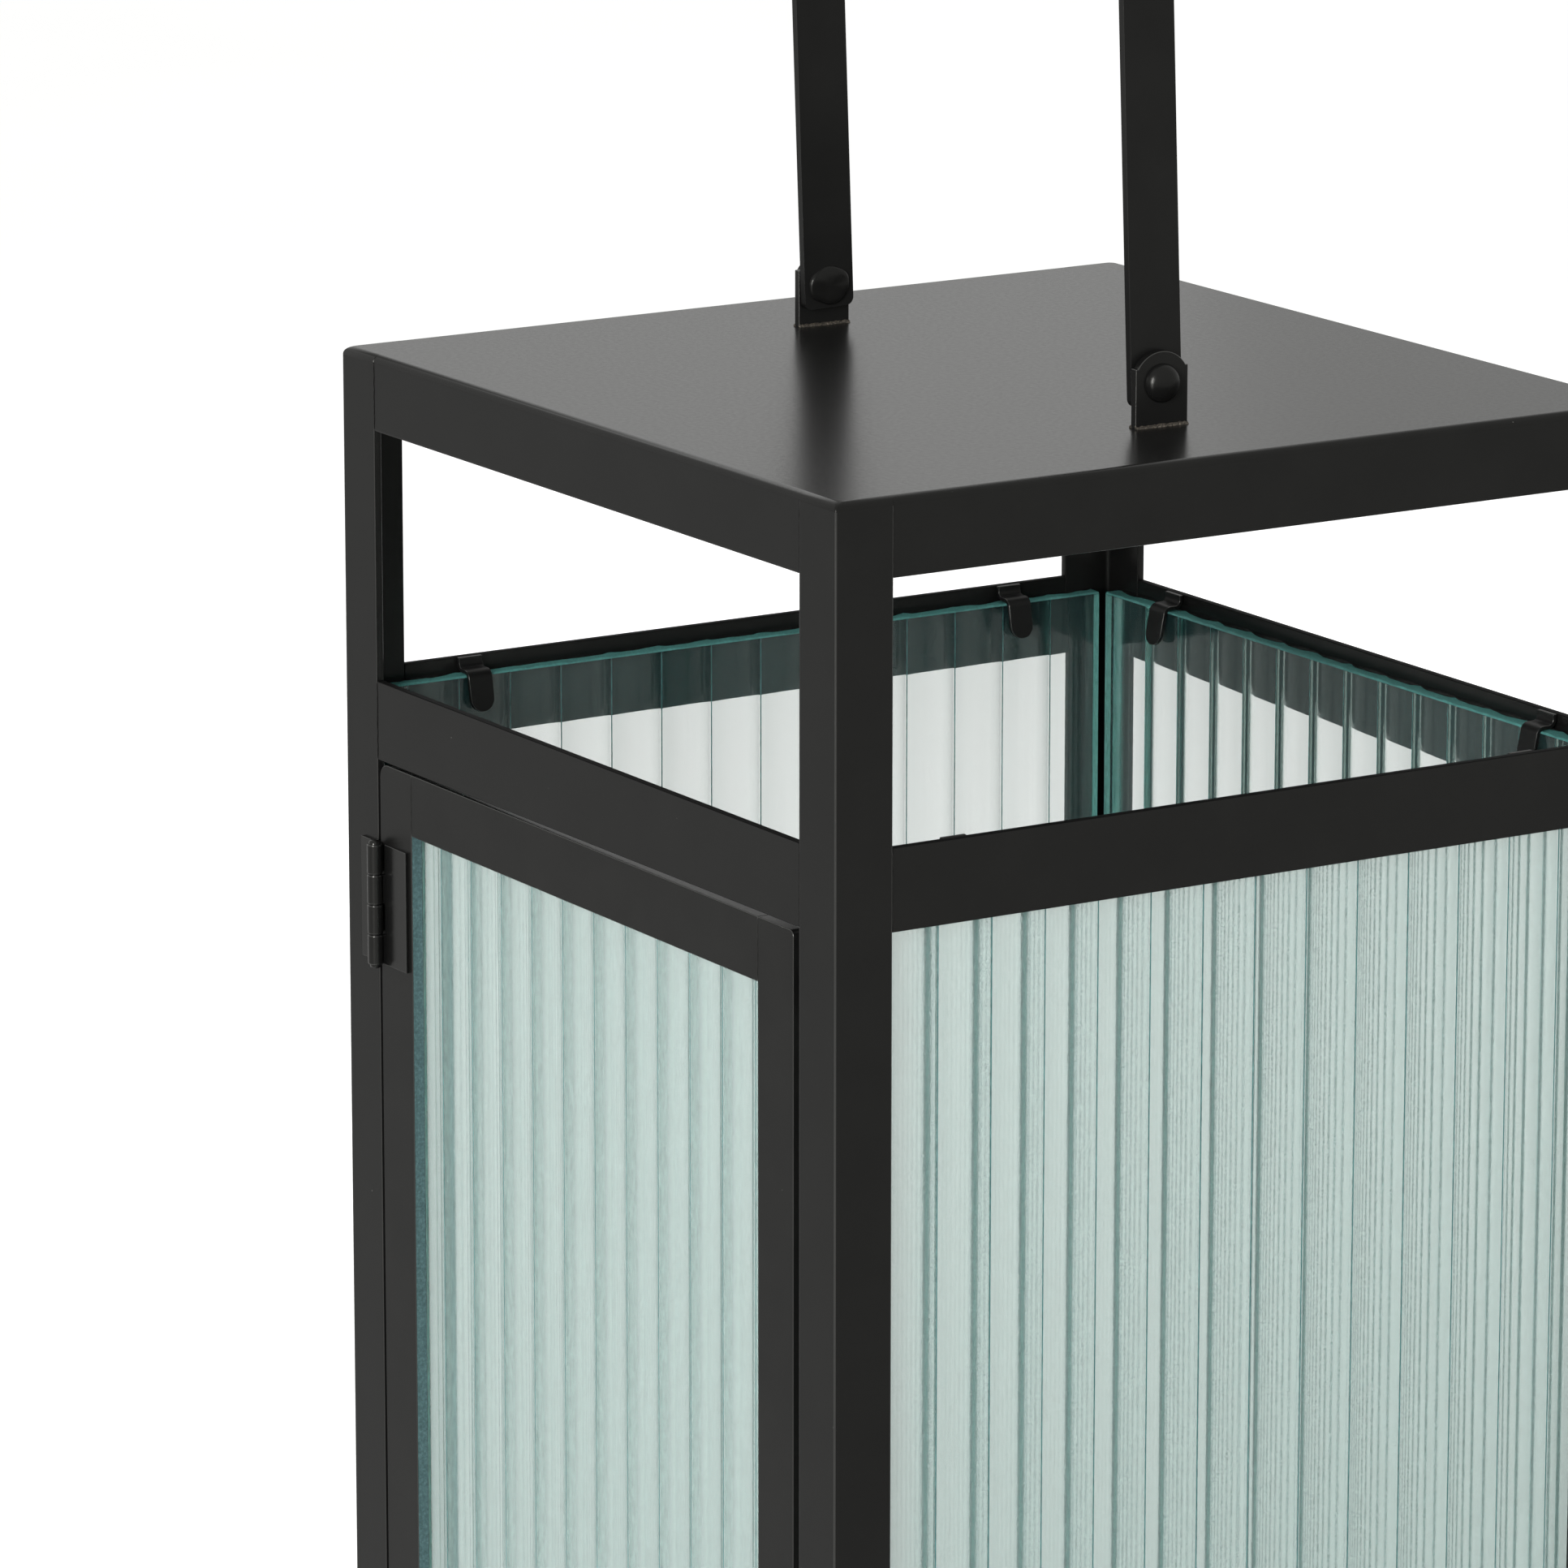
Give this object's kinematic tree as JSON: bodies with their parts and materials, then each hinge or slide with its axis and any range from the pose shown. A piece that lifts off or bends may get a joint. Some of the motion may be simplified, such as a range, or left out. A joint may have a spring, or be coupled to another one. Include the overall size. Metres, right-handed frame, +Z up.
{
  "type": "candle lantern",
  "caption": "Square floor lantern for candles: welded black steel frame, reeded glass on all sides, hinged glazed door, open band under the top plate and a swinging flat-bar handle.",
  "frame": {"origin": "middle of the base tray's flat underside, which the lantern stands on", "axes": "+Z up, the door on the -Y side with its hinges at -X, the handle's pivot along X"},
  "size_m": [0.22, 0.234, 0.5932],
  "materials": {
    "frame_coat": "black fine-textured powder coat over welded mild steel",
    "door_coat": "black fine-textured powder coat on flat steel bar",
    "handle_coat": "black fine-textured powder coat on flat steel bar",
    "clip_steel": "black coated bent sheet steel",
    "latch_hardware": "satin black turned steel",
    "reeded_glass": "clear slightly green float-based glass, reeded outside and flat inside"
  },
  "bodies": {
    "frame": {"top_plate": "frame_coat", "base_tray": "frame_coat", "post_front_left": "frame_coat", "post_front_right": "frame_coat", "post_back_right": "frame_coat", "post_back_left": "frame_coat", "upper_rail_front": "frame_coat", "upper_rail_right": "frame_coat", "upper_rail_back": "frame_coat", "upper_rail_left": "frame_coat", "door_stop_lower": "clip_steel", "door_stop_upper": "clip_steel", "pane_right": "reeded_glass", "pane_back": "reeded_glass", "pane_left": "reeded_glass", "clip_right_upper_a": "clip_steel", "clip_right_upper_b": "clip_steel", "clip_right_lower_a": "clip_steel", "clip_right_lower_b": "clip_steel", "clip_back_upper_a": "clip_steel", "clip_back_upper_b": "clip_steel", "clip_back_lower_a": "clip_steel", "clip_back_lower_b": "clip_steel", "clip_left_upper_a": "clip_steel", "clip_left_upper_b": "clip_steel", "clip_left_lower_a": "clip_steel", "clip_left_lower_b": "clip_steel", "hinge_lower_post_leaf": "frame_coat", "hinge_lower_pin": "frame_coat", "hinge_upper_post_leaf": "frame_coat", "hinge_upper_pin": "frame_coat", "handle_lug_left": "frame_coat", "handle_lug_right": "frame_coat", "handle_rivet_left": "frame_coat", "handle_rivet_right": "frame_coat"},
    "door": {"door_stile_left": "door_coat", "door_stile_right": "door_coat", "door_rail_top": "door_coat", "door_rail_bottom": "door_coat", "door_pane": "reeded_glass", "clip_door_upper_a": "clip_steel", "clip_door_upper_b": "clip_steel", "clip_door_lower_a": "clip_steel", "clip_door_lower_b": "clip_steel", "hinge_lower_door_leaf": "door_coat", "hinge_upper_door_leaf": "door_coat"},
    "latch": {"latch_knob": "latch_hardware", "latch_spindle": "latch_hardware", "latch_tongue": "latch_hardware"},
    "handle": {"handle": "handle_coat"}
  },
  "joints": [
    {"name": "door_hinge", "type": "hinge", "parent": "frame", "child": "door", "pos_m": [-0.0929, -0.1122, 0.18515], "axis": [0, 0, -1], "range_deg": [0, 175]},
    {"name": "handle_hinge", "type": "hinge", "parent": "frame", "child": "handle", "pos_m": [0, 0.0003, 0.46], "axis": [0.9998, -0.0175, 0], "range_deg": [-92, 88]},
    {"name": "latch_turn", "type": "hinge", "parent": "door", "child": "latch", "pos_m": [0.0867, -0.11, 0.18515], "axis": [0, -1, 0], "range_deg": [0, 90]}
  ]
}
